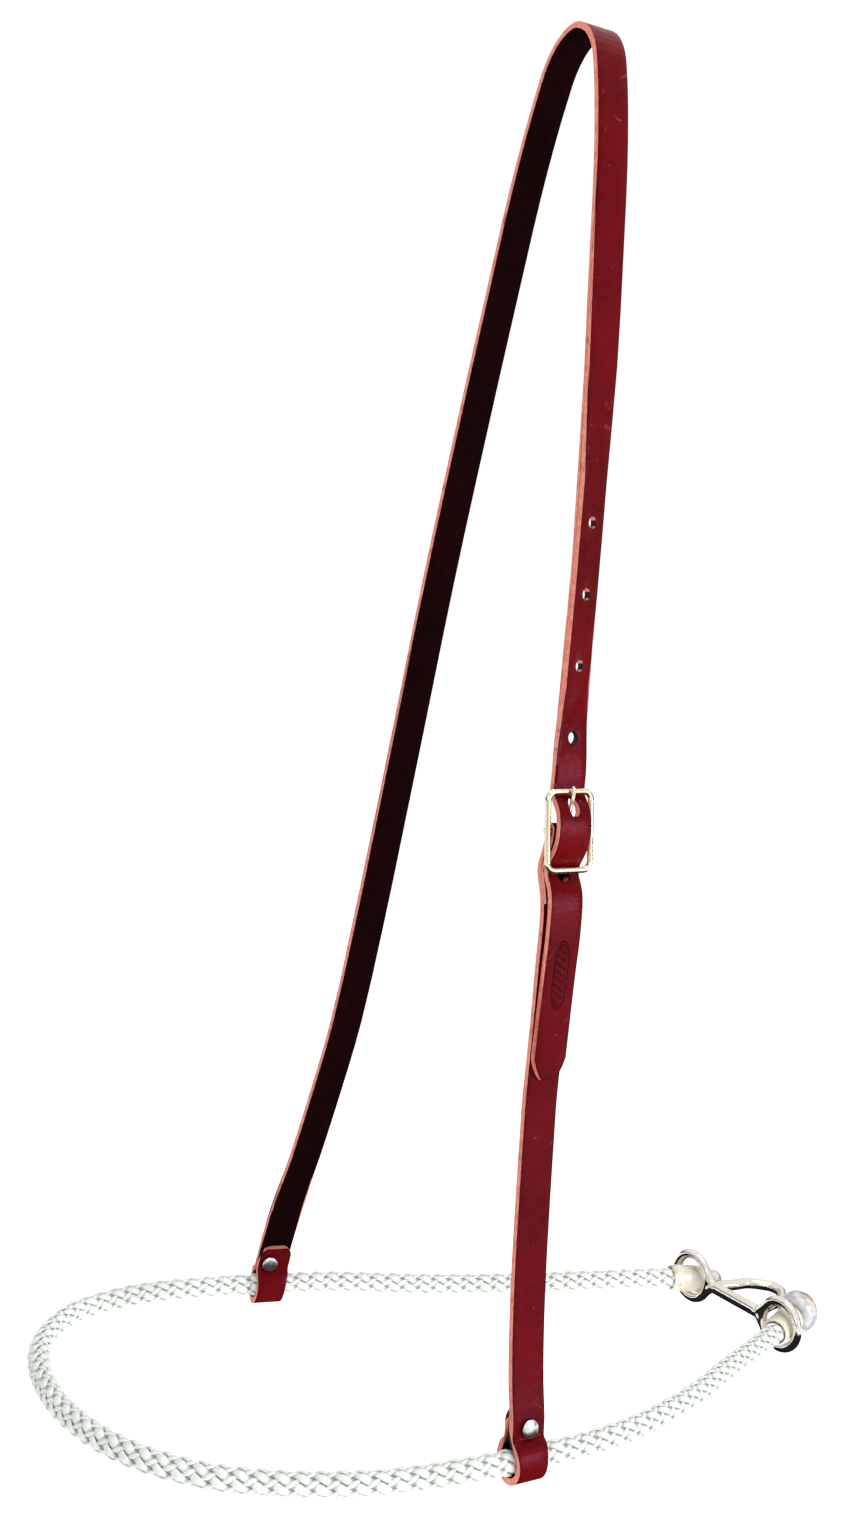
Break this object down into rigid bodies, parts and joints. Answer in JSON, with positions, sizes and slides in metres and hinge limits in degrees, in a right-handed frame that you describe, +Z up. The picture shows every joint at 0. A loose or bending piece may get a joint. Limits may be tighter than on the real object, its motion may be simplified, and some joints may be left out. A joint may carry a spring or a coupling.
{
  "type": "bitless hackamore noseband",
  "caption": "Bitless western headpiece: a braided rope noseband hung in an adjustable riveted leather hanger, with a metal tie-down keeper under the chin.",
  "frame": {"origin": "the poll rest: underside of the crown strap, on the middle plane", "axes": "+Z up along the hanger, -X toward the horse's nose, +X toward the chin, -Y the near (buckled) side"},
  "size_m": [0.3325, 0.1777, 0.5184],
  "materials": {
    "leather": "satin oxblood grain, undyed edges",
    "nickel": "polished nickel plate",
    "steel": "plain steel rivets",
    "rope": "braided off-white nylon",
    "sleeve": "smooth fused nylon"
  },
  "bodies": {
    "hanger": {"crown_strap": "leather", "cheek_strap": "leather", "buckle_frame": "nickel", "far_foot_rivet": "steel", "far_foot_rivet_cap": "steel", "near_foot_rivet": "steel", "near_foot_rivet_cap": "steel", "buckle_fold_rivet": "steel", "buckle_fold_rivet_cap": "steel"},
    "buckle_tongue": {"buckle_tongue": "nickel"},
    "noseband": {"noseband_rope": "rope", "far_rope_sleeve": "sleeve", "near_rope_sleeve": "sleeve", "far_rope_knob": "rope", "near_rope_knob": "rope"},
    "keeper": {"tie_down_keeper": "nickel"}
  },
  "joints": [
    {"name": "tongue_hinge", "type": "hinge", "parent": "hanger", "child": "buckle_tongue", "pos_m": [-0.01156, -0.05085, -0.28896], "axis": [0.9996, 0.0028, 0.0278], "range_deg": [0, 5]},
    {"name": "noseband_pitch", "type": "hinge", "parent": "hanger", "child": "noseband", "pos_m": [-0.0381, 0, -0.505], "axis": [-0.165, 0.9863, 0], "range_deg": [-4, 4]},
    {"name": "keeper_swing", "type": "hinge", "parent": "noseband", "child": "keeper", "pos_m": [0.1378, 0.0001, -0.5044], "axis": [-0.0872, 0.9962, 0], "range_deg": [-6, 10]}
  ]
}
